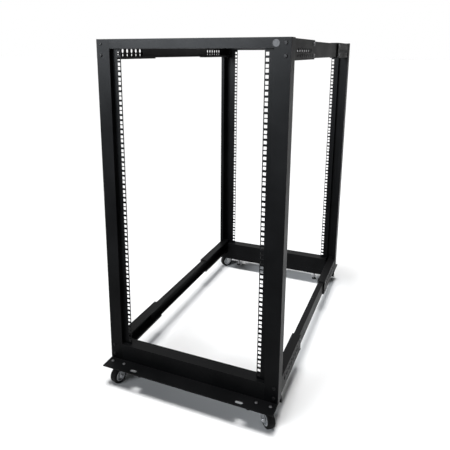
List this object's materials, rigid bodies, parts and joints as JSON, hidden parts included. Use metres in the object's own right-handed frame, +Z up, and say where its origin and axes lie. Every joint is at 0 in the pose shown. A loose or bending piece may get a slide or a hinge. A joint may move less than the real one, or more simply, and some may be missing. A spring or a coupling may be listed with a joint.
{
  "type": "open-frame server rack",
  "caption": "Open four-post equipment rack on swivel casters, with square-holed posts, flanged base, levelling feet and telescopic side rails for adjustable depth.",
  "frame": {"origin": "on the floor, midway between left and right and midway between front and rear at full depth", "axes": "+Z up, +X to the right seen from the front, the front faces -Y"},
  "size_m": [0.604, 1.154, 1.159],
  "materials": {
    "powder_coat": "satin black powder coat",
    "black_fasteners": "black-coated steel fasteners",
    "zinc": "bright zinc plating",
    "wheel_core": "matte grey",
    "tyre": "matte black",
    "foot_pad": "matte black",
    "badge": "gloss dark grey, plain"
  },
  "bodies": {
    "front_frame": {"front_top_beam": "powder_coat", "front_base_beam": "powder_coat", "front_base_plate": "powder_coat", "front_frame_bolts": "black_fasteners", "front_clamp_bolts": "black_fasteners", "front_caster_bolts": "black_fasteners", "front_foot_nuts": "black_fasteners", "front_left_post": "powder_coat", "front_rail_top_left": "powder_coat", "front_rail_bottom_left": "powder_coat", "front_left_caster_plate": "zinc", "front_right_post": "powder_coat", "front_rail_top_right": "powder_coat", "front_rail_bottom_right": "powder_coat", "front_right_caster_plate": "zinc", "front_badge": "badge"},
    "rear_frame": {"rear_top_beam": "powder_coat", "rear_base_beam": "powder_coat", "rear_base_plate": "powder_coat", "rear_frame_bolts": "black_fasteners", "rear_clamp_bolts": "black_fasteners", "rear_caster_bolts": "black_fasteners", "rear_foot_nuts": "black_fasteners", "rear_left_post": "powder_coat", "rear_rail_top_left": "powder_coat", "rear_rail_bottom_left": "powder_coat", "rear_left_caster_plate": "zinc", "rear_right_post": "powder_coat", "rear_rail_top_right": "powder_coat", "rear_rail_bottom_right": "powder_coat", "rear_right_caster_plate": "zinc"},
    "middle_rail_bottom_left_body": {"middle_rail_bottom_left": "powder_coat"},
    "middle_rail_bottom_right_body": {"middle_rail_bottom_right": "powder_coat"},
    "middle_rail_top_left_body": {"middle_rail_top_left": "powder_coat"},
    "middle_rail_top_right_body": {"middle_rail_top_right": "powder_coat"},
    "front_left_swivel": {"front_left_caster_fork": "zinc", "front_left_caster_axle": "zinc"},
    "front_left_wheel": {"front_left_wheel_core": "wheel_core", "front_left_tyre": "tyre"},
    "front_left_foot": {"front_left_foot_stud": "zinc", "front_left_foot_pad": "foot_pad"},
    "front_right_swivel": {"front_right_caster_fork": "zinc", "front_right_caster_axle": "zinc"},
    "front_right_wheel": {"front_right_wheel_core": "wheel_core", "front_right_tyre": "tyre"},
    "front_right_foot": {"front_right_foot_stud": "zinc", "front_right_foot_pad": "foot_pad"},
    "rear_left_swivel": {"rear_left_caster_fork": "zinc", "rear_left_caster_axle": "zinc"},
    "rear_left_wheel": {"rear_left_wheel_core": "wheel_core", "rear_left_tyre": "tyre"},
    "rear_left_foot": {"rear_left_foot_stud": "zinc", "rear_left_foot_pad": "foot_pad"},
    "rear_right_swivel": {"rear_right_caster_fork": "zinc", "rear_right_caster_axle": "zinc"},
    "rear_right_wheel": {"rear_right_wheel_core": "wheel_core", "rear_right_tyre": "tyre"},
    "rear_right_foot": {"rear_right_foot_stud": "zinc", "rear_right_foot_pad": "foot_pad"}
  },
  "joints": [
    {"name": "rear_frame_depth", "type": "slide", "parent": "front_frame", "child": "rear_frame", "axis": [0, 1, 0], "range_m": [-0.442, 0]},
    {"name": "middle_rail_bottom_left_slide", "type": "slide", "parent": "front_frame", "child": "middle_rail_bottom_left_body", "axis": [0, 1, 0], "range_m": [-0.221, 0]},
    {"name": "middle_rail_bottom_right_slide", "type": "slide", "parent": "front_frame", "child": "middle_rail_bottom_right_body", "axis": [0, 1, 0], "range_m": [-0.221, 0]},
    {"name": "middle_rail_top_left_slide", "type": "slide", "parent": "front_frame", "child": "middle_rail_top_left_body", "axis": [0, 1, 0], "range_m": [-0.221, 0]},
    {"name": "middle_rail_top_right_slide", "type": "slide", "parent": "front_frame", "child": "middle_rail_top_right_body", "axis": [0, 1, 0], "range_m": [-0.221, 0]},
    {"name": "front_left_caster_swivel", "type": "hinge", "parent": "front_frame", "child": "front_left_swivel", "pos_m": [-0.26, -0.52, 0.071], "axis": [0, 0, 1], "continuous": true},
    {"name": "front_left_wheel_spin", "type": "hinge", "parent": "front_left_swivel", "child": "front_left_wheel", "pos_m": [-0.2646, -0.53844, 0.0285], "axis": [-0.9703, 0.2419, 0], "continuous": true},
    {"name": "front_left_foot_screw", "type": "slide", "parent": "front_frame", "child": "front_left_foot", "axis": [0, 0, 1], "range_m": [-0.024, 0.018]},
    {"name": "front_right_caster_swivel", "type": "hinge", "parent": "front_frame", "child": "front_right_swivel", "pos_m": [0.26, -0.52, 0.071], "axis": [0, 0, 1], "continuous": true},
    {"name": "front_right_wheel_spin", "type": "hinge", "parent": "front_right_swivel", "child": "front_right_wheel", "pos_m": [0.27343, -0.53343, 0.0285], "axis": [-0.7071, -0.7071, 0], "continuous": true},
    {"name": "front_right_foot_screw", "type": "slide", "parent": "front_frame", "child": "front_right_foot", "axis": [0, 0, 1], "range_m": [-0.024, 0.018]},
    {"name": "rear_left_caster_swivel", "type": "hinge", "parent": "rear_frame", "child": "rear_left_swivel", "pos_m": [-0.26, 0.52, 0.071], "axis": [0, 0, 1], "continuous": true},
    {"name": "rear_left_wheel_spin", "type": "hinge", "parent": "rear_left_swivel", "child": "rear_left_wheel", "pos_m": [-0.27221, 0.50545, 0.0285], "axis": [-0.766, 0.6428, 0], "continuous": true},
    {"name": "rear_left_foot_screw", "type": "slide", "parent": "rear_frame", "child": "rear_left_foot", "axis": [0, 0, 1], "range_m": [-0.024, 0.018]},
    {"name": "rear_right_caster_swivel", "type": "hinge", "parent": "rear_frame", "child": "rear_right_swivel", "pos_m": [0.26, 0.52, 0.071], "axis": [0, 0, 1], "continuous": true},
    {"name": "rear_right_wheel_spin", "type": "hinge", "parent": "rear_right_swivel", "child": "rear_right_wheel", "pos_m": [0.2535, 0.50215, 0.0285], "axis": [-0.9397, 0.342, 0], "continuous": true},
    {"name": "rear_right_foot_screw", "type": "slide", "parent": "rear_frame", "child": "rear_right_foot", "axis": [0, 0, 1], "range_m": [-0.024, 0.018]}
  ],
  "couplings": [
    {"joint": "middle_rail_bottom_left_slide", "follows": "rear_frame_depth", "ratio": 0.5},
    {"joint": "middle_rail_bottom_right_slide", "follows": "rear_frame_depth", "ratio": 0.5},
    {"joint": "middle_rail_top_left_slide", "follows": "rear_frame_depth", "ratio": 0.5},
    {"joint": "middle_rail_top_right_slide", "follows": "rear_frame_depth", "ratio": 0.5}
  ]
}
